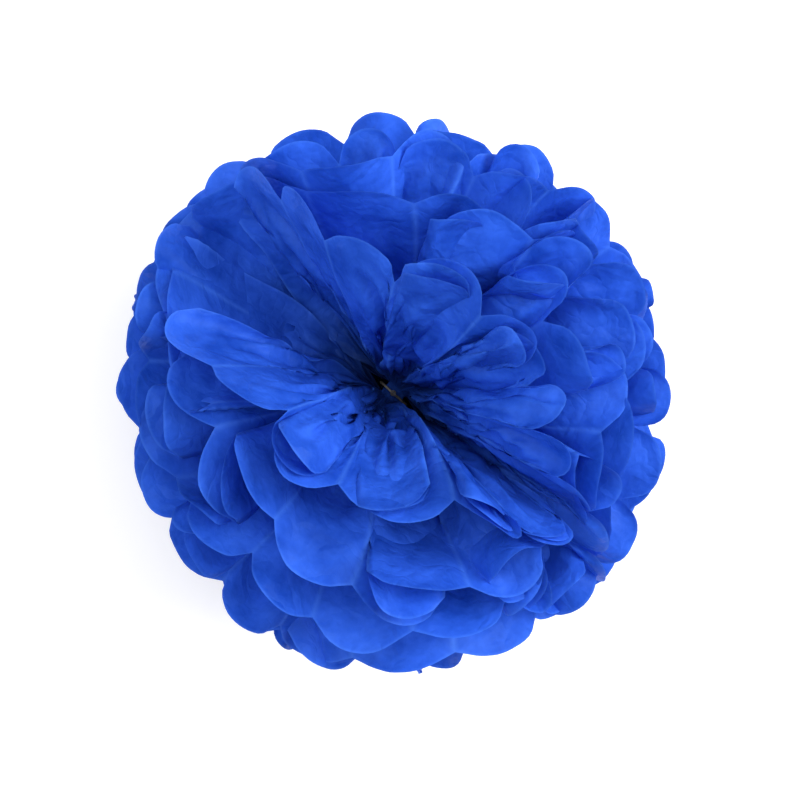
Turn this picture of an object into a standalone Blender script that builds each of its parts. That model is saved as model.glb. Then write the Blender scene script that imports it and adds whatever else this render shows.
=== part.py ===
"""Tissue paper pom pom, 254 mm across, standing on a table with its axis upright.

Ten sheets of tissue are pleated together, tied across the middle with a twisted wire, cut
round at both ends and pulled apart, five up and five down. Each sheet is one folded piece:
a flat ribbon where the wire grips it, and a half circle of pleats on either side.
The pleats run along X through the tie, and the wire goes round them in the YZ plane.
Metres, +Z up, origin on the table straight below the tie.
"""

from math import asin, atan2, copysign, cos, pi, radians, sin, sqrt, tanh

import bmesh
import bpy
from mathutils import Matrix, Vector

# Driving dimensions
RADIUS = 0.127  # from the tie to the tip of a petal
SHEET_COUNT = 10
PLEATS = 14  # across one sheet, so 28 petals round the ball
FAN_ANGLE = radians(182)  # a half circle and a little more, so that the two fans close up
PLEAT_WIDTH = 0.0363  # the sheet is 14 of these long
SCALLOP = 0.012  # how much lower the round cut is at a fold than at a petal's tip
PAPER = 0.0003  # thickness of the solid that stands for the tissue
STEEPEST = radians(68)  # of the uppermost and the lowest sheet, from the level
TIE_HEIGHT = 0.108  # above the table

# The waist, where the wire gathers every sheet into a ribbon
WAIST_HALF = 0.0028  # half the ribbon's length, along X
WAIST_WIDTH = 0.0095  # along Y
WAIST_PITCH = 0.001  # from one ribbon to the next, along Z
LEAVING = 0.0035  # run over which the paper turns from the ribbon to its sheet's slope
BUNCHED = 0.034  # run over which the pleats, crushed by the wire, rise to their full depth
UPRIGHT = radians(84)  # no fold leans past this
BEND_FROM = radians(60)  # slope above which folds crowd together towards UPRIGHT

# The wire
WIRE_RADIUS = 0.0006
WIRE_GAP = 0.0003
STRAND_OFFSET = WIRE_RADIUS + WIRE_GAP / 2  # of each strand from the middle of the twist
TWIST_TURNS = 2.5
TWIST_LENGTH = 0.015
RING_STEPS = 22
TWIST_STEPS = 24

# Where a sheet has points: along a fold, and across a petal's cut end
REACHES = (0.0075, 0.017, 0.034, 0.062, 0.104)
ACROSS_TIP = (-1.0, -0.6, 0.0, 0.6, 1.0)  # from one fold of a petal to the other
FOOT = 0.003  # least width of the last strip of a petal that meets the table

TISSUE_BLUE = (0.017, 0.062, 0.49, 1.0)
WIRE_GREY = (0.42, 0.40, 0.36, 1.0)


def clear_scene():
    for thing in list(bpy.data.objects):
        bpy.data.objects.remove(thing, do_unlink=True)


def make_material(name, colour, roughness, metallic=0.0):
    material = bpy.data.materials.new(name)
    material.use_nodes = True
    shader = material.node_tree.nodes["Principled BSDF"]
    shader.inputs["Base Color"].default_value = colour
    shader.inputs["Roughness"].default_value = roughness
    shader.inputs["Metallic"].default_value = metallic
    return material


def sheet_slope(number):
    """Angle of a sheet above the level: the first sheet is the steepest, the last points down."""
    step = 2 * STEEPEST / (SHEET_COUNT - 1)
    return STEEPEST - step * number


def pleat_swing(slope, run):
    """Half the angle between a petal's two folds: it keeps the pleat one pleat wide at any run."""
    along_circle = FAN_ANGLE * run * cos(slope) / PLEATS
    up_and_down = sqrt(PLEAT_WIDTH**2 - along_circle**2)
    open_swing = atan2(up_and_down / 2, run)
    return open_swing * min(1.0, run / BUNCHED) ** 2


def crowded(slope):
    """Keeps a steep fold short of upright, and every fold in its order."""
    if abs(slope) < BEND_FROM:
        return slope
    room = UPRIGHT - BEND_FROM
    return copysign(BEND_FROM + room * tanh((abs(slope) - BEND_FROM) / room), slope)


def zigzag(place):
    """+1 on the even folds, -1 on the odd ones, and straight between them."""
    within = place % 2
    return 1 - 2 * within if within <= 1 else 2 * within - 3


def cut_reach(across):
    """Distance from the tie to the round cut end, at -1..1 from one fold of a petal to the other."""
    return RADIUS - SCALLOP * (1 - sqrt(max(0.0, 1 - across * across)))


def line_slope(number, place, run):
    """Slope from the waist to a point on the paper, `run` away at a place among the folds."""
    slope = sheet_slope(number)
    leaving = min(1.0, 0.5 + run / LEAVING / 4)
    return leaving * crowded(slope + pleat_swing(slope, run) * zigzag(place))


def paper_point(number, side, place, reach):
    """A point of sheet `number`: `place` counts folds from -Y, `reach` is measured from the tie."""
    heading = FAN_ANGLE * (place / PLEATS - 0.5)
    start = Vector((WAIST_HALF, WAIST_WIDTH * (place / PLEATS - 0.5), waist_height(number)))
    run = reach - WAIST_HALF
    slope = line_slope(number, place, run) if run > 0 else 0.0
    outward = run * cos(slope)
    height = start.z + run * sin(slope)
    if height < 0:  # the paper bends and lies on the table
        fallen = start.z / -sin(slope)
        outward = fallen * cos(slope) + run - fallen
        height = 0.0
    across = start.y + outward * sin(heading)
    return Vector((side * (start.x + outward * cos(heading)), across, height))


def waist_height(number):
    return TIE_HEIGHT + WAIST_PITCH * ((SHEET_COUNT - 1) / 2 - number)


def table_reach(number, place):
    """Distance from the tie at which the paper meets the table, or far away if it never does."""
    slope = line_slope(number, place, RADIUS)
    if slope >= 0:
        return 10 * RADIUS
    return WAIST_HALF + waist_height(number) / -sin(slope)


def reaches_table(number):
    return any(
        table_reach(number, place_on_petal(petal, across)) < cut_reach(across)
        for petal in range(2)
        for across in ACROSS_TIP
    )


def place_on_petal(petal, across):
    return petal + (across + 1) / 2


def fold_row(mesh, number, side, reach):
    return [mesh.verts.new(paper_point(number, side, place, reach)) for place in range(PLEATS + 1)]


def tip_row(mesh, number, side, reach_at):
    """Points across every petal, shared at the folds, at the reach that reach_at gives."""
    row = []
    for petal in range(PLEATS):
        for across in ACROSS_TIP if petal == 0 else ACROSS_TIP[1:]:
            place = place_on_petal(petal, across)
            row.append(mesh.verts.new(paper_point(number, side, place, reach_at(place, across))))
    return row


def bridge_equal(mesh, inner, outer):
    for i in range(len(inner) - 1):
        mesh.faces.new((inner[i], outer[i], outer[i + 1], inner[i + 1]))


def bridge_fine(mesh, folds, tips):
    """Joins a row of one point a fold to a row of several points a petal."""
    steps = len(ACROSS_TIP) - 1
    middle = steps // 2
    for petal in range(PLEATS):
        end = tips[petal * steps : petal * steps + steps + 1]
        near, far = folds[petal], folds[petal + 1]
        for i in range(middle):
            mesh.faces.new((near, end[i], end[i + 1]))
        mesh.faces.new((near, end[middle], far))
        for i in range(middle, steps):
            mesh.faces.new((far, end[i], end[i + 1]))


def add_fan(mesh, number, side, waist):
    """One half circle of pleats, from the ribbon's end to the round cut edge."""
    rows = [waist] + [fold_row(mesh, number, side, reach) for reach in REACHES]
    for inner, outer in zip(rows, rows[1:]):
        bridge_equal(mesh, inner, outer)
    folds = rows[-1]
    rim = tip_row(mesh, number, side, lambda place, across: cut_reach(across))
    if not reaches_table(number):
        bridge_fine(mesh, folds, rim)
        return
    crease = tip_row(
        mesh,
        number,
        side,
        lambda place, across: min(table_reach(number, place), cut_reach(across) - FOOT),
    )
    bridge_fine(mesh, folds, crease)
    bridge_equal(mesh, crease, rim)


def make_sheet(number, material):
    """One tissue sheet: the ribbon in the waist and the two fans that open out of it."""
    mesh = bmesh.new()
    waists = {side: fold_row(mesh, number, side, WAIST_HALF) for side in (-1, 1)}
    bridge_equal(mesh, waists[-1], waists[1])
    for side in (-1, 1):
        add_fan(mesh, number, side, waists[side])
    bmesh.ops.recalc_face_normals(mesh, faces=mesh.faces)
    mesh.normal_update()
    upwards = sum(face.normal.z * face.calc_area() for face in mesh.faces)
    if upwards < 0:
        bmesh.ops.reverse_faces(mesh, faces=mesh.faces)
    data = bpy.data.meshes.new(f"tissue_sheet_{number + 1:02d}")
    mesh.to_mesh(data)
    mesh.free()
    sheet = bpy.data.objects.new(data.name, data)
    bpy.context.collection.objects.link(sheet)
    data.materials.append(material)
    thicken = sheet.modifiers.new("paper thickness", "SOLIDIFY")
    thicken.thickness = PAPER
    thicken.offset = 1.0
    thicken.use_even_offset = False
    return sheet


def ring_radius():
    """Of the wire's middle line, so that the ring clears the corners of the stack of ribbons."""
    stack = WAIST_PITCH * (SHEET_COUNT - 1) + PAPER
    return sqrt((WAIST_WIDTH / 2) ** 2 + (stack / 2) ** 2) + WIRE_GAP + WIRE_RADIUS


def wire_path():
    """The wire's middle line from one free end, down the twist, round the bundle and up again."""
    radius = ring_radius()
    centre = TIE_HEIGHT + PAPER / 2
    parting = asin(STRAND_OFFSET / radius)  # where the strands leave the ring, from its top
    foot_of_twist = centre + radius * cos(parting)
    twist = []
    for i in range(TWIST_STEPS + 1):
        share = 1 - i / TWIST_STEPS
        turned = 2 * pi * TWIST_TURNS * share
        height = foot_of_twist + WIRE_RADIUS + TWIST_LENGTH * share
        sideways = Vector((sin(turned), cos(turned), 0)) * STRAND_OFFSET
        twist.append(Vector((0, 0, height)) + sideways)
    ring = []
    for i in range(1, RING_STEPS):
        angle = parting + (2 * pi - 2 * parting) * i / RING_STEPS
        ring.append(Vector((0, radius * sin(angle), centre + radius * cos(angle))))
    half_turn = Matrix.Rotation(pi, 3, "Z")
    return twist + ring + [half_turn @ point for point in reversed(twist)]


def make_wire(material):
    curve = bpy.data.curves.new("tie_wire", "CURVE")
    curve.dimensions = "3D"
    curve.bevel_depth = WIRE_RADIUS
    curve.bevel_resolution = 1
    curve.use_fill_caps = True
    points = wire_path()
    spline = curve.splines.new("POLY")
    spline.points.add(len(points) - 1)
    for target, point in zip(spline.points, points):
        target.co = (*point, 1)
    wire = bpy.data.objects.new("tie_wire", curve)
    bpy.context.collection.objects.link(wire)
    curve.materials.append(material)
    return wire


def main():
    clear_scene()
    for number in range(SHEET_COUNT):
        tissue = make_material(f"blue_tissue_{number + 1:02d}", TISSUE_BLUE, 0.85)
        make_sheet(number, tissue)
    make_wire(make_material("tie_wire_steel", WIRE_GREY, 0.45, metallic=0.6))


main()
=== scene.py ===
# %% [markdown]
# # A tissue paper pom pom
# The ball is ten sheets of blue tissue, folded together as an accordion, gripped across the middle
# by a twisted wire, cut round at both ends and pulled apart one by one. The solid model is loaded
# first: it gives the size of the ball, the place of the wire and one plain solid for each sheet.
# Each plain sheet is replaced below by thin, soft, creased paper.

# %% Load the solid model and keep its box
from math import cos, pi, radians, sin

import bpy
import numpy as np
from mathutils import Matrix, Vector


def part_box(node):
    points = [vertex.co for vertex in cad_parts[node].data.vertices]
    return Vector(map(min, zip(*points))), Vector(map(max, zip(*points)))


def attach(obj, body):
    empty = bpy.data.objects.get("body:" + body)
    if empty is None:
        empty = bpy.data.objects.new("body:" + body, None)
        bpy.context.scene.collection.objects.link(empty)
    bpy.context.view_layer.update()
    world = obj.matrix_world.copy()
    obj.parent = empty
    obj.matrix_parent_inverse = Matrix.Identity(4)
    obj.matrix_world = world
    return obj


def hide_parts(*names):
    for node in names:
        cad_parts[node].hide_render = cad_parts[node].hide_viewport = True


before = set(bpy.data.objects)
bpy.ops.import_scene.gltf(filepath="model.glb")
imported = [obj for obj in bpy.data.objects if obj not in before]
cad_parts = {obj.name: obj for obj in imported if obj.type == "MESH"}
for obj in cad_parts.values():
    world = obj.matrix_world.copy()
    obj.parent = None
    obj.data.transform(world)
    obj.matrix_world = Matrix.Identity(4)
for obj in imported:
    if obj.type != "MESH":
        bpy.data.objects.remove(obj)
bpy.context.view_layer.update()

sheet_nodes = sorted(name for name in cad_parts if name.startswith("tissue_sheet"))

# %% [markdown]
# ## The sizes that the folding fixes
# Every sheet is a 508 by 254 mm rectangle in fourteen pleats. The tie is halfway along the pleats,
# so a petal reaches 127 mm from it. The two halves of a sheet open like two fans, each a half
# circle, that meet along a seam: the seam lies along Y, and the folds pass through the tie along X.

# %% Folding sizes
RADIUS = 0.127  # from the tie to the tip of a petal
PLEATS = 14
PLEAT_WIDTH = 0.508 / PLEATS
SCALLOP = 0.0125  # how much lower the round cut is at a fold than at a tip
STEEPEST = radians(68)
FAN_ANGLE = radians(181)
WAIST_HALF = 0.0028
WAIST_WIDTH = 0.0095
WAIST_PITCH = 0.001
BUNCHED = 0.034  # run over which the pleats, crushed by the wire, rise to their full depth
SHEETS = len(sheet_nodes)
SIDES = (-1, 1)
tie_height = float(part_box(sheet_nodes[0])[0][2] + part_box(sheet_nodes[-1])[1][2]) / 2
slopes = np.linspace(STEEPEST, -STEEPEST, SHEETS)
waist_heights = tie_height + WAIST_PITCH * ((SHEETS - 1) / 2 - np.arange(SHEETS))
print(f"the tie is {1000 * tie_height:.1f} mm above the table")

# %% [markdown]
# ## The grid drawn on the flat paper
# Before folding, a grid is drawn on each half sheet: columns run with the folds, eight to a pleat,
# and rows run across them, out to the round cut. A crease then always has a column of points of
# its own, and the flat distances between points say how long the paper is wherever it is bent.

# %% Flat grid
STEPS = 8  # columns in a pleat
ROWS = 46
places = np.arange(PLEATS * STEPS + 1) / STEPS  # counted in folds from the -Y edge
across = 2 * (places % 1.0) - 1
across[-1] = -1
snips = np.random.default_rng(5)
# Scissors wander: how many mm longer than even the cut is, by side and fold, and a small raggedness.
LONGER = {
    -1: (0, 0, 1, 2.5, 3.5, 3.5, 2.5, 1, 0, -1, 0, 0, 0, 0, 0),
    1: (0, 0, 0, 0, 0, 0, 1, 2, 3, 3, 2, 1, 0, 0, 0),
}
cuts = []
for side in SIDES:
    longer = np.interp(places, np.arange(PLEATS + 1), LONGER[side]) / 1000
    petal_own = np.repeat(snips.normal(0, 0.0012, PLEATS), STEPS)
    petal_own = np.append(petal_own, petal_own[-1]) * (1 - across**2)
    ragged = np.convolve(snips.normal(0, 0.0007, len(places) + 2), (0.25, 0.5, 0.25), "valid")
    scallop = SCALLOP * (1 - np.sqrt(np.clip(1 - across**2, 0, 1)))
    cuts.append(RADIUS - scallop + longer + petal_own + ragged)
cut = np.stack(cuts)  # one line of cut for each side
share = np.linspace(0, 1, ROWS) ** 0.92  # rows lie a little closer together towards the cut
side_runs = share[None, :, None] * (cut - WAIST_HALF)[:, None, :]  # from the ribbon's end
runs = np.tile(side_runs, (SHEETS, 1, 1))  # of every half sheet, the two sides of a sheet in turn
flat_u = np.broadcast_to(places * PLEAT_WIDTH, runs.shape)
is_fold = (np.arange(len(places)) % STEPS) == 0
print("half sheets, rows and columns:", runs.shape)

# %% [markdown]
# ## Where each fold goes
# In the folded bundle every crease has a neat place: headings step evenly round the half circle
# and slopes go up and down in turn. Fluffing moves them. Each fold gets a heading and a slope of its
# own at the rim, mostly by seeded chance. The folds of the uppermost sheet, the crown, are listed
# one by one, because its big petals are seen first.

# %% Neat folds, then fluffed ones
chance = np.random.default_rng(14)
fold_numbers = np.arange(PLEATS + 1)
zigzag = np.where(fold_numbers % 2 == 0, 1.0, -1.0)
neat_heading = FAN_ANGLE * (fold_numbers / PLEATS - 0.5)


def shared_and_own(shared_size, own_size):
    """Chance turns for every side, sheet and fold: part is common to all sheets, part is not."""
    shared = chance.normal(0, shared_size, (2, 1, PLEATS + 1))
    own = chance.normal(0, own_size, (2, SHEETS, PLEATS + 1))
    return shared + own


heading_turn = shared_and_own(radians(2.2), radians(2.6))
slope_turn = shared_and_own(radians(1.5), radians(3.4))
depth = chance.uniform(0.45, 1.0, (2, SHEETS, PLEATS + 1))  # how much of a crease's zigzag is left

cup = chance.normal(0, radians(5.5), (2, SHEETS, PLEATS))  # how far a petal bellies out, or in
curl = chance.normal(radians(-3), radians(9.5), (2, SHEETS, PLEATS))  # and how far its rim turns
cup[:, 0] *= 0.5  # the crown petals are drawn out flatter
curl[:, 0] *= 0.3

# The seam wanders from sheet to sheet, so that no straight slit runs through the ball.
seam_turn = np.clip(chance.normal(0, radians(6), (2, SHEETS)), -radians(10), radians(10))
for from_edge, carried in enumerate((1.0, 0.6, 0.3)):
    for s, side in enumerate(SIDES):
        heading_turn[s, :, from_edge] *= 1 - carried
        heading_turn[s, :, -1 - from_edge] *= 1 - carried
        heading_turn[s, :, from_edge] += side * carried * seam_turn[0]
        heading_turn[s, :, -1 - from_edge] += side * carried * seam_turn[1]

# %% Pleats that fluffing tucks under
# A pulled sheet lies flat in places and hides its spare paper in tucks: a fold steps back under its
# neighbour and the next one comes forward again. The steeper the sheet, the more it has to hide.
TUCKS = {1: 4, 2: 3, 3: 2, 4: 2}  # by sheet, on each side
tucked_heading = np.tile(neat_heading, (2, SHEETS, 1))
tucked_slope = np.zeros((2, SHEETS, PLEATS + 1))
for number, tucks in TUCKS.items():
    for s in (0, 1):
        while True:
            firsts = np.sort(chance.choice(np.arange(1, PLEATS - 2), tucks, replace=False))
            if tucks < 2 or np.diff(firsts).min() >= 3:
                break
        steps = np.ones(PLEATS)
        for first in firsts:
            back = chance.uniform(0.55, 0.95)
            steps[first], steps[first + 1] = -back, back
            tucked_slope[s, number, first + 1] = -radians(chance.uniform(4, 7))
            tucked_slope[s, number, first + 2] = -radians(3)
        steps *= FAN_ANGLE / steps.sum()
        tucked_heading[s, number, 1:] = neat_heading[0] + np.cumsum(steps)
print("tucks on each side, below the crown:", sum(TUCKS.values()))

# %% Crown petals, listed one by one
# Every fold that the crown shows: its heading from the middle of its fan and its slope, in degrees,
# from the -Y end. Where two more numbers follow, a pleat is tucked in after the fold: it steps back
# by the first, lies lower by the second, and comes forward again.
CROWN = {
    -1: [(-95, 40), (-85, 55, 10, 15), (-80, 70, 5, 15), (-15, 70, 50, 0), (35, 70, 40, 0),
         (55, 55), (70, 40)],
    1: [(-92, 10), (-88, 25), (-80, 40), (-75, 55), (-60, 65), (-45, 60), (-15, 70, 20, 5),
        (40, 70, 40, 5), (65, 60), (70, 40), (80, 25)],
}
OUTLINE_END = (95, 20)  # where the crown's outline comes down to at the +Y end
UNDER_CROWN = radians(8)  # the next sheet is pressed this far under that outline
UNDER_EACH = radians(3.5)  # and every further sheet this much more


def crown_folds(side):
    """Headings and slopes of all the crown's folds on one side, tucks included."""
    folds = []
    for heading, slope, *tuck in CROWN[side]:
        folds.append((heading, slope))
        if tuck:
            back, lower = tuck
            folds += [(heading - back, slope - lower), (heading + 1, slope - 1)]
    return np.radians(folds).T


def pressed_slope(side, heading, number):
    """The steepest slope that the crown leaves to an upper sheet at these headings."""
    outline = np.radians([fold[:2] for fold in CROWN[side]] + [OUTLINE_END]).T
    return np.interp(heading, *outline) - UNDER_CROWN - UNDER_EACH * (number - 1)


crown = {side: crown_folds(side) for side in SIDES}
print("folds in the crown:", [crown[side].shape[1] for side in SIDES])

# %% Paper lines from the waist to the rim


def smooth(x):
    x = np.clip(x, 0, 1)
    return x * x * (3 - 2 * x)


def crowd(angle, start=radians(60), end=radians(86)):
    """Folds that lean past `start` crowd together on the way to `end`."""
    size = np.abs(angle)
    squeezed = start + (end - start) * np.tanh((size - start) / (end - start))
    return np.sign(angle) * np.where(size < start, size, squeezed)


def along_petal(values):
    """Values at the folds, carried across every pleat to the grid's columns."""
    return np.interp(places, fold_numbers, values)


def over_petals(values):
    """One value a petal, full along its middle and nothing at its folds."""
    return np.append(np.repeat(values, STEPS), values[-1]) * (1 - across**2)


def starting_shape(side, number):
    """The half sheet as it springs from the waist, before the paper finds its own curves."""
    s = SIDES.index(side)
    run = side_runs[s]
    arc = FAN_ANGLE * run * np.cos(slopes[number]) / PLEATS
    deep = np.sqrt(np.clip(PLEAT_WIDTH**2 - arc**2, 0, None)) / 2
    swing = np.arctan2(deep, run + 1e-6) * np.clip(run / BUNCHED, 0, 1) ** 2
    late = smooth(run / RADIUS * 1.15)
    zig = along_petal(zigzag)[None, :] * (1 - late + late * along_petal(depth[s, number])[None, :])
    slope = slopes[number] + swing * zig + late * along_petal(slope_turn[s, number])[None, :]
    heading = along_petal(neat_heading)[None, :] + late * along_petal(heading_turn[s, number])[None, :]
    early = smooth(run / 0.03)
    if number == 0:
        # A crown petal stands up a little more halfway along, and its rim falls back.
        lean = radians(5) * (smooth(run / 0.06) - 1.6 * smooth((run - 0.07) / 0.057))
        slope = slope * (1 - early) + early * (along_petal(crown[side][1])[None, :] + lean)
        heading = heading * (1 - early) + early * along_petal(crown[side][0])[None, :]
    elif slopes[number] > 0:
        flatter = slopes[number] + 0.3 * swing * zig + along_petal(slope_turn[s, number] * 1.3)[None, :]
        flatter = flatter + along_petal(tucked_slope[s, number])[None, :]
        opened = smooth(run / 0.05)
        slope = slope * (1 - opened) + opened * flatter
        tucked = along_petal(tucked_heading[s, number] + heading_turn[s, number])[None, :]
        heading = heading * (1 - opened) + opened * tucked
        slope = np.minimum(slope, pressed_slope(side, heading, number) + (1 - early) * radians(30))
    slope = slope + over_petals(cup[s, number])[None, :] * smooth((run - 0.03) / 0.07)
    slope = slope + over_petals(curl[s, number])[None, :] * smooth((run - 0.095) / 0.03)
    slope = crowd(slope) * np.clip(0.5 + run / 0.014, 0, 1)
    if number < 4:  # the upper sheets part a little along the seam, near the wire
        closing = WAIST_HALF * (1 - 0.95 * smooth(run / 0.025))
        closing = closing + 0.0022 * smooth(run / 0.02) * (1 - smooth((run - 0.035) / 0.03))
    else:  # and the others close up just past it
        closing = WAIST_HALF * (1 - 1.2 * smooth(run / 0.011))
    x = closing + run * np.cos(slope) * np.cos(heading)
    y = WAIST_WIDTH * (places / PLEATS - 0.5)[None, :] + run * np.cos(slope) * np.sin(heading)
    z = waist_heights[number] + run * np.sin(slope)
    return np.stack([side * x, y, z], axis=-1)


paper = np.stack([starting_shape(side, n) for n in range(SHEETS) for side in SIDES])
print("starting shape of", paper.shape[0], "half sheets")

# %% [markdown]
# ## Letting the paper find its curves
# Paper bends but hardly stretches, so a petal whose folds are closer than its width bulges into a
# cup. A small relaxation does this: over and over, each pair of neighbouring points is moved
# towards its distance on the flat sheet, every line is straightened a little, as stiff paper
# would, and no point goes below the table. Near the tie the paper is crushed, so there it may
# be shorter than flat, but never longer.

# %% Flat lengths and how far the paper resists crushing
flat_down = np.diff(runs, axis=1)
flat_over = np.hypot(np.diff(flat_u, axis=2), np.diff(runs, axis=2))
flat_fall = np.hypot(flat_u[:, 1:, 1:] - flat_u[:, :-1, :-1], runs[:, 1:, 1:] - runs[:, :-1, :-1])
flat_climb = np.hypot(flat_u[:, 1:, :-1] - flat_u[:, :-1, 1:], runs[:, 1:, :-1] - runs[:, :-1, 1:])
firm = smooth((runs - 0.012) / 0.05)


def pull(a, b, flat, push):
    """Moves two views of the grid towards their flat distance; `push` is the share if too short."""
    gap = b - a
    length = np.sqrt((gap * gap).sum(axis=-1)) + 1e-9
    wrong = (length - flat) / length
    wrong = np.where(wrong < 0, wrong * push, wrong)
    step = (0.48 * wrong)[..., None] * gap
    a += step
    b -= step


def pull_all(points, stiff):
    for start in (0, 1):
        rows = slice(start, ROWS - 1, 2)
        next_rows = slice(start + 1, ROWS, 2)
        pull(points[:, rows], points[:, next_rows], flat_down[:, rows], 1.0)
        columns = slice(start, len(places) - 1, 2)
        next_columns = slice(start + 1, len(places), 2)
        push = (stiff * firm)[:, :, columns]
        pull(points[:, :, columns], points[:, :, next_columns], flat_over[:, :, columns], push)
        push = (stiff * firm)[:, rows, :-1]
        pull(points[:, rows, :-1], points[:, next_rows, 1:], flat_fall[:, rows], push)
        pull(points[:, rows, 1:], points[:, next_rows, :-1], flat_climb[:, rows], push)


def straighten(points, along, over):
    """Bending stiffness: along the folds everywhere, and across the pleats except at creases."""
    middle = points[:, 1:-1]
    middle += along * ((points[:, :-2] + points[:, 2:]) / 2 - middle)
    inner = points[:, :, 1:-1]
    bends = np.where(is_fold[1:-1], 0.12, 1.0)[None, None, :, None]
    inner += over * bends * ((points[:, :, :-2] + points[:, :, 2:]) / 2 - inner)


# %% Relax
ROUNDS = 40
wanted = paper.copy()
crumple = chance.normal(0, 1, paper.shape)
for _ in range(3):
    crumple[:, 1:-1] = (crumple[:, :-2] + crumple[:, 1:-1] + crumple[:, 2:]) / 3
    crumple[:, :, 1:-1] = (crumple[:, :, :-2] + crumple[:, :, 1:-1] + crumple[:, :, 2:]) / 3
paper += 0.003 * crumple * smooth(runs / 0.04)[..., None]
for _ in range(ROUNDS):
    pull_all(paper, 0.8)
    straighten(paper, 0.16, 0.10)
    paper += 0.012 * (wanted - paper)
    paper[:, 0] = wanted[:, 0]
    paper[..., 2] = np.maximum(paper[..., 2], 0.0002)
moved = np.sqrt(((paper - wanted) ** 2).sum(axis=-1))
print(f"{ROUNDS} rounds; mean move {1000 * moved.mean():.1f} mm, most {1000 * moved.max():.1f} mm")

# %% [markdown]
# ## From grid to sheets
# The relaxed grid is made twice as fine with smooth curves between its points, and the two halves
# of a sheet are joined through the waist. The flat place of every point is kept as the sheet's UV
# map, so that the fibres and creases of its finish lie in the paper.

# %% Finer grid and joined sheets
CREASES = 14
CREASE_HEIGHT = 0.0007


def finer(points, axis):
    """Doubles a grid along one axis, with a smooth curve through the old points."""
    points = np.moveaxis(points, axis, 0)
    middle = (points[:-1] + points[1:]) / 2
    middle[1:-1] = (9 * (points[1:-2] + points[2:-1]) - points[:-3] - points[3:]) / 16
    result = np.empty((2 * len(points) - 1, *points.shape[1:]))
    result[::2] = points
    result[1::2] = middle
    return np.moveaxis(result, 0, axis)


def finer_over_pleats(points):
    """Doubles the columns, pleat by pleat, so that no curve runs across a crease."""
    parts = [finer(points[:, i : i + STEPS + 1], 1) for i in range(0, PLEATS * STEPS, STEPS)]
    return np.concatenate([part[:, :-1] for part in parts[:-1]] + [parts[-1]], axis=1)


def creased(points, flat, number):
    """Presses shallow creases into the paper: sharp little ridges that run at many headings."""
    over = np.gradient(points, axis=1)
    down = np.gradient(points, axis=0)
    normal = np.cross(down, over)
    normal /= np.linalg.norm(normal, axis=-1, keepdims=True) + 1e-12
    draw = np.random.default_rng(100 + number)
    height = np.zeros(points.shape[:2])
    for _ in range(CREASES):
        turn = draw.uniform(0, pi)
        wave = draw.uniform(0.012, 0.045)
        shift = draw.uniform(0, 2 * pi)
        bent = 0.006 * np.sin(flat[..., 1] / 0.021 + shift) + 0.006 * np.sin(flat[..., 0] / 0.027 + shift)
        along = (flat[..., 0] * cos(turn) + flat[..., 1] * sin(turn) + bent) / wave
        patch = np.sin(flat[..., 0] / draw.uniform(0.02, 0.05) + shift)
        patch = np.clip(patch * np.sin(flat[..., 1] / draw.uniform(0.02, 0.04) - shift), 0, 1)
        height += patch * (1 - 2 * np.abs((along % 1.0) - 0.5)) * wave / 0.03
    height = (height - height.mean()) * CREASE_HEIGHT
    return points + normal * (height * smooth(np.abs(flat[..., 1]) / 0.05))[..., None]


def joined(number):
    """Points and flat places of a whole sheet, from the -X rim through the waist to the +X rim."""
    halves, flats = [], []
    for half in (2 * number, 2 * number + 1):
        flat = np.stack([flat_u[half], runs[half] + WAIST_HALF], axis=-1)
        flats.append(finer_over_pleats(finer(flat, 0)))
        fine = finer_over_pleats(finer(paper[half], 0))
        halves.append(creased(fine, flats[-1], half))
    points = np.concatenate([halves[0][::-1], halves[1]])
    points[..., 2] = np.maximum(points[..., 2], 0.0001)
    return points, np.concatenate([flats[0][::-1] * np.array([1, -1]), flats[1]])


def distance_to_cut(flat):
    """How far every point is from the cut edge, along the fold's direction on the flat sheet."""
    reach = np.abs(flat[..., 1])
    half = len(reach) // 2
    return np.concatenate([reach[:1] - reach[:half], reach[-1:] - reach[half:]])


def build_sheet(number):
    points, flat = joined(number)
    rows, columns = points.shape[:2]
    index = np.arange(rows * columns).reshape(rows, columns)
    corners = [index[:-1, :-1], index[1:, :-1], index[1:, 1:], index[:-1, 1:]]
    faces = np.stack(corners, axis=-1).reshape(-1, 4)
    mesh = bpy.data.meshes.new(f"petals_{number + 1:02d}")
    mesh.vertices.add(rows * columns)
    mesh.vertices.foreach_set("co", points.reshape(-1).astype(np.float32))
    mesh.loops.add(faces.size)
    mesh.loops.foreach_set("vertex_index", faces.reshape(-1).astype(np.int32))
    mesh.polygons.add(len(faces))
    mesh.polygons.foreach_set("loop_start", np.arange(0, faces.size, 4, dtype=np.int32))
    mesh.update(calc_edges=True)
    near_cut = mesh.attributes.new("to_cut", "FLOAT", "POINT")
    near_cut.data.foreach_set("value", distance_to_cut(flat).reshape(-1).astype(np.float32))
    uv = mesh.uv_layers.new(name="flat")
    place = (flat / 0.508).reshape(-1, 2)[faces.reshape(-1)] + np.array([0, 0.5])
    uv.data.foreach_set("uv", place.reshape(-1).astype(np.float32))
    mesh.shade_smooth()
    piece = bpy.data.objects.new(mesh.name, mesh)
    bpy.context.collection.objects.link(piece)
    return piece


sheets = [build_sheet(number) for number in range(SHEETS)]
print("faces in a sheet:", len(sheets[0].data.polygons))

# %% [markdown]
# ## The tissue
# Tissue is thin, dyed right through and slightly glossy on its pressed face. Light comes through
# it, so a petal with light behind it glows. The colour is a little cloudy where the fibres are
# thicker, and fine creases catch the light.

# %% Tissue material


def add_node(tree, kind, **values):
    node = tree.nodes.new(kind)
    for name, value in values.items():
        if name in node.inputs:
            node.inputs[name].default_value = value
        else:
            setattr(node, name, value)
    return node


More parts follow.
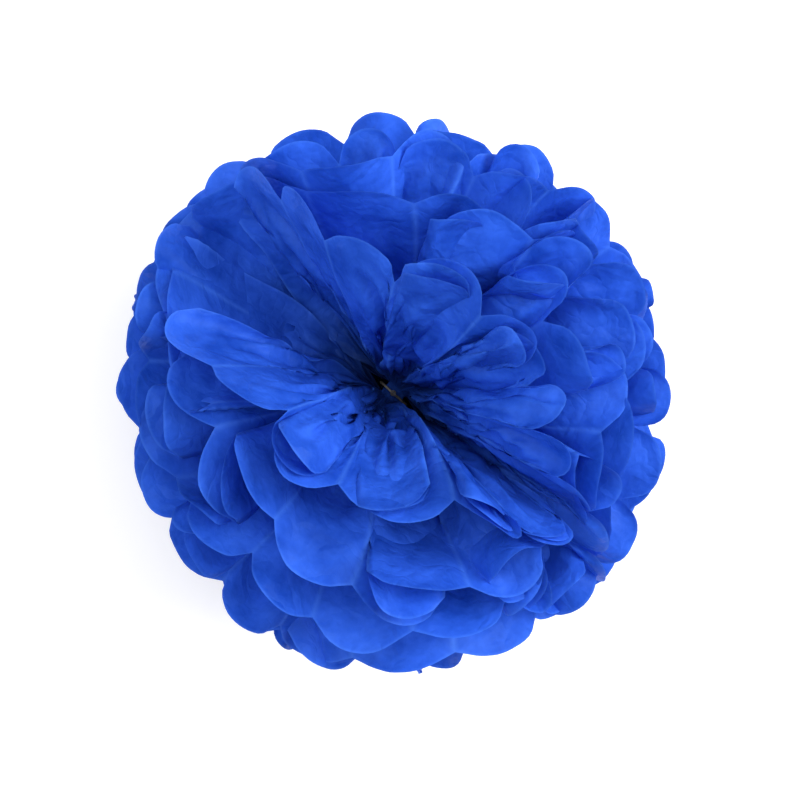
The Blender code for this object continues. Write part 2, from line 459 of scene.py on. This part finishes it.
def map_range(tree, start, end, first, last, **values):
    """A node that turns start..end into first..last."""
    node = add_node(tree, "ShaderNodeMapRange", **values)
    for socket, value in zip(node.inputs[1:5], (start, end, first, last)):
        socket.default_value = value
    return node


def cloudy_blue(tree, paper_place):
    """The dye, a little deeper and paler in clouds."""
    clouds = add_node(tree, "ShaderNodeTexNoise", Scale=22.0, Detail=6.0, Roughness=0.62)
    dye = add_node(tree, "ShaderNodeValToRGB")
    deep, bright = dye.color_ramp.elements
    deep.position = 0.34
    deep.color = (0.010, 0.064, 0.470, 1)
    bright.position = 0.68
    bright.color = (0.034, 0.140, 0.78, 1)
    tree.links.new(paper_place, clouds.inputs["Vector"])
    tree.links.new(clouds.outputs["Fac"], dye.inputs["Fac"])
    return dye.outputs["Color"]


def painted_edge_highlights(tree, colour, across_folds):
    """Painted highlights: the cut edge and the ridges of the folds are made a paler blue."""
    to_cut_edge = add_node(tree, "ShaderNodeAttribute", attribute_name="to_cut")
    rim = map_range(tree, 0.0, 0.0014, 0.26, 0.0)
    in_pleats = add_node(tree, "ShaderNodeMath", operation="MULTIPLY")
    in_pleats.inputs[1].default_value = PLEATS
    from_fold = add_node(tree, "ShaderNodeMath", operation="PINGPONG")
    from_fold.inputs[1].default_value = 0.5
    fold_ridge_highlight = map_range(tree, 0.0, 0.035, 0.3, 0.0)
    highlight_share = add_node(tree, "ShaderNodeMath", operation="MAXIMUM")
    paler = add_node(tree, "ShaderNodeMix", data_type="RGBA")
    # the paler blue of the painted highlights
    paler.inputs[7].default_value = (0.085, 0.27, 0.92, 1)
    tree.links.new(to_cut_edge.outputs["Fac"], rim.inputs["Value"])
    tree.links.new(across_folds, in_pleats.inputs[0])
    tree.links.new(in_pleats.outputs[0], from_fold.inputs[0])
    tree.links.new(from_fold.outputs[0], fold_ridge_highlight.inputs["Value"])
    tree.links.new(rim.outputs["Result"], highlight_share.inputs[0])
    tree.links.new(fold_ridge_highlight.outputs["Result"], highlight_share.inputs[1])
    tree.links.new(highlight_share.outputs[0], paler.inputs[0])
    tree.links.new(colour, paler.inputs[6])
    return paler.outputs[2]


def painted_centre_shade(tree, colour, along_folds, shade_at_tie):
    """Painted shade: the colour darkens towards the tie, where the folds shade each other."""
    from_tie = add_node(tree, "ShaderNodeMath", operation="SUBTRACT")
    from_tie.inputs[1].default_value = 0.5
    reach = add_node(tree, "ShaderNodeMath", operation="ABSOLUTE")
    shade_share = map_range(tree, 0.015, 0.115, shade_at_tie, 0.0, interpolation_type="SMOOTHSTEP")
    deeper = add_node(tree, "ShaderNodeMix", data_type="RGBA")
    # the near-black blue of the painted shade
    deeper.inputs[7].default_value = (0.0015, 0.009, 0.085, 1)
    tree.links.new(along_folds, from_tie.inputs[0])
    tree.links.new(from_tie.outputs[0], reach.inputs[0])
    tree.links.new(reach.outputs[0], shade_share.inputs["Value"])
    tree.links.new(shade_share.outputs["Result"], deeper.inputs[0])
    tree.links.new(colour, deeper.inputs[6])
    return deeper.outputs[2]


def crinkled(tree, paper_place):
    """Broad dents, then fine creases, then fibres, each pressed over the last."""
    wobble = add_node(tree, "ShaderNodeTexNoise", Scale=18.0, Detail=3.0)
    bend = add_node(tree, "ShaderNodeMix", data_type="VECTOR")
    bend.inputs["Factor"].default_value = 0.16
    tree.links.new(paper_place, wobble.inputs["Vector"])
    tree.links.new(paper_place, bend.inputs[4])
    tree.links.new(wobble.outputs["Color"], bend.inputs[5])
    dents = add_node(tree, "ShaderNodeTexNoise", Scale=34.0, Detail=3.0, Roughness=0.5)
    creases = add_node(tree, "ShaderNodeTexVoronoi", Scale=24.0, feature="DISTANCE_TO_EDGE")
    fibres = add_node(tree, "ShaderNodeTexNoise", Scale=420.0, Detail=4.0, Roughness=0.7)
    tree.links.new(paper_place, dents.inputs["Vector"])
    tree.links.new(bend.outputs[1], creases.inputs["Vector"])
    tree.links.new(paper_place, fibres.inputs["Vector"])
    dent_bump = add_node(tree, "ShaderNodeBump", Strength=0.25, Distance=0.004)
    crease_bump = add_node(tree, "ShaderNodeBump", Strength=0.5, Distance=0.0026)
    fibre_bump = add_node(tree, "ShaderNodeBump", Strength=0.2, Distance=0.0002)
    tree.links.new(dents.outputs["Fac"], dent_bump.inputs["Height"])
    tree.links.new(creases.outputs["Distance"], crease_bump.inputs["Height"])
    tree.links.new(fibres.outputs["Fac"], fibre_bump.inputs["Height"])
    tree.links.new(dent_bump.outputs["Normal"], crease_bump.inputs["Normal"])
    tree.links.new(crease_bump.outputs["Normal"], fibre_bump.inputs["Normal"])
    return fibre_bump.outputs["Normal"]


def tissue(name, number):
    """The finish of one sheet: soft gloss on top, and light that comes through from behind."""
    material = bpy.data.materials.new(name)
    material.use_nodes = True
    tree = material.node_tree
    shader = tree.nodes["Principled BSDF"]
    shader.inputs["Roughness"].default_value = 0.5
    shader.inputs["Specular IOR Level"].default_value = 0.2
    shader.inputs["Specular Tint"].default_value = (0.5, 0.8, 1.0, 1)
    where = add_node(tree, "ShaderNodeUVMap", uv_map="flat")
    shift = add_node(tree, "ShaderNodeMapping")
    shift.inputs["Location"].default_value = (number * 3.7, number * 1.3, 0)  # no two sheets alike
    flat_place = add_node(tree, "ShaderNodeSeparateXYZ")
    tree.links.new(where.outputs["UV"], shift.inputs["Vector"])
    tree.links.new(where.outputs["UV"], flat_place.inputs[0])
    paper_place = shift.outputs["Vector"]
    colour = cloudy_blue(tree, paper_place)
    # painted highlights along the cut edge and the ridges of the folds
    colour = painted_edge_highlights(tree, colour, flat_place.outputs["X"])
    # painted shade towards the tie, milder on the crown
    colour = painted_centre_shade(tree, colour, flat_place.outputs["Y"], 0.5 if number == 0 else 0.93)
    surface = crinkled(tree, paper_place)
    through = add_node(tree, "ShaderNodeBsdfTranslucent")
    for finish, colour_socket in ((shader, "Base Color"), (through, "Color")):
        tree.links.new(colour, finish.inputs[colour_socket])
        tree.links.new(surface, finish.inputs["Normal"])
    mix = add_node(tree, "ShaderNodeMixShader")
    mix.inputs["Fac"].default_value = 0.22
    tree.links.new(shader.outputs["BSDF"], mix.inputs[1])
    tree.links.new(through.outputs["BSDF"], mix.inputs[2])
    tree.links.new(mix.outputs["Shader"], tree.nodes["Material Output"].inputs["Surface"])
    return material


for number, piece in enumerate(sheets):
    piece.data.materials.append(tissue(f"tissue_{number + 1:02d}", number))

# %% The wire keeps its solid and gets a dull, drawn finish


def wire_finish():
    material = bpy.data.materials.new("tie_wire_finish")
    material.use_nodes = True
    tree = material.node_tree
    shader = tree.nodes["Principled BSDF"]
    shader.inputs["Metallic"].default_value = 0.7
    shader.inputs["Roughness"].default_value = 0.42
    where = add_node(tree, "ShaderNodeTexCoord")
    grain = add_node(tree, "ShaderNodeTexNoise", Scale=900.0, Detail=3.0)
    tone = add_node(tree, "ShaderNodeValToRGB")
    tone.color_ramp.elements[0].color = (0.17, 0.16, 0.13, 1)
    tone.color_ramp.elements[1].color = (0.32, 0.30, 0.27, 1)
    tree.links.new(where.outputs["Object"], grain.inputs["Vector"])
    tree.links.new(grain.outputs["Fac"], tone.inputs["Fac"])
    tree.links.new(tone.outputs["Color"], shader.inputs["Base Color"])
    return material


wire = bpy.data.objects["tie_wire"]
wire.data.materials.clear()
wire.data.materials.append(wire_finish())

# %% [markdown]
# ## What each piece stands for
# Every new sheet replaces its plain solid and rides with the ball's one body. The round cut takes
# a little off the rectangle.

# %% Riding and replacing
for node, piece in zip(sheet_nodes, sheets):
    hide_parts(node)
    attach(piece, "root")

# %% [markdown]
# ## Table, light and camera
# The table is one large white disc that gives a little light of its own, as a light table does. A
# broad soft light stands to the right, a weaker one fills from the left, and a large dim one hangs
# overhead. The camera looks straight down the ball's axis, turned so that the seam runs from the
# upper left of the view to its lower right.

# %% Table
bpy.ops.mesh.primitive_circle_add(vertices=96, radius=1.7, fill_type="NGON")
table = bpy.context.object
table.name = "table"
table_paint = bpy.data.materials.new("table_white")
table_paint.use_nodes = True
white = table_paint.node_tree.nodes["Principled BSDF"]
white.inputs["Base Color"].default_value = (0.97, 0.97, 0.97, 1)
white.inputs["Roughness"].default_value = 0.8
white.inputs["Emission Color"].default_value = (1, 1, 1, 1)
white.inputs["Emission Strength"].default_value = 0.22
table.data.materials.append(table_paint)

# %% Camera
SEAM_IN_VIEW = radians(138)  # of +Y, anticlockwise from the view's right
roll = SEAM_IN_VIEW - pi / 2
view_right = Vector((cos(roll), -sin(roll), 0))
view_up = Vector((sin(roll), cos(roll), 0))
camera_data = bpy.data.cameras.new("camera")
camera = bpy.data.objects.new("camera", camera_data)
bpy.context.collection.objects.link(camera)
camera_data.lens = 85
camera_data.sensor_width = 36
CAMERA_HEIGHT = 0.842  # above the tie
ASIDE = 0.003  # the camera stands this far to the right of the axis, and as far below it
aim = Vector((0, 0, tie_height))
camera.matrix_world = Matrix.Translation(
    aim + Vector((0, 0, CAMERA_HEIGHT)) + ASIDE * view_right - ASIDE * view_up
) @ Matrix((view_right, view_up, Vector((0, 0, 1)))).transposed().to_4x4()
bpy.context.scene.camera = camera

# %% Lights


def soft_light(name, right, up, height, size, power):
    """A square soft light, placed by the view's right and up, and turned to the ball."""
    data = bpy.data.lights.new(name, "AREA")
    data.size = size
    data.energy = power
    light = bpy.data.objects.new(name, data)
    bpy.context.collection.objects.link(light)
    place = view_right * right + view_up * up + Vector((0, 0, height))
    light.location = place
    light.rotation_euler = (place - aim).to_track_quat("Z", "Y").to_euler()


soft_light("key", 1.6, 0.35, 1.3, 1.4, 50)
soft_light("fill", -1.5, 0.0, 1.5, 1.6, 15)
soft_light("top", 0.1, 0.3, 2.4, 2.0, 28)

# %% The white studio round the table
world = bpy.data.worlds.new("studio")
world.use_nodes = True
sky = world.node_tree
glow = sky.nodes["Background"]
glow.inputs["Color"].default_value = (1, 1, 1, 1)
glow.inputs["Strength"].default_value = 0.35
backdrop = add_node(sky, "ShaderNodeBackground", Color=(1, 1, 1, 1), Strength=1.0)
seen = add_node(sky, "ShaderNodeLightPath")
shown = add_node(sky, "ShaderNodeMixShader")
sky.links.new(seen.outputs["Is Camera Ray"], shown.inputs["Fac"])
sky.links.new(glow.outputs[0], shown.inputs[1])
sky.links.new(backdrop.outputs[0], shown.inputs[2])
sky.links.new(shown.outputs[0], sky.nodes["World Output"].inputs["Surface"])
bpy.context.scene.world = world
bpy.context.scene.view_settings.view_transform = "Standard"
bpy.context.scene.view_settings.look = "None"
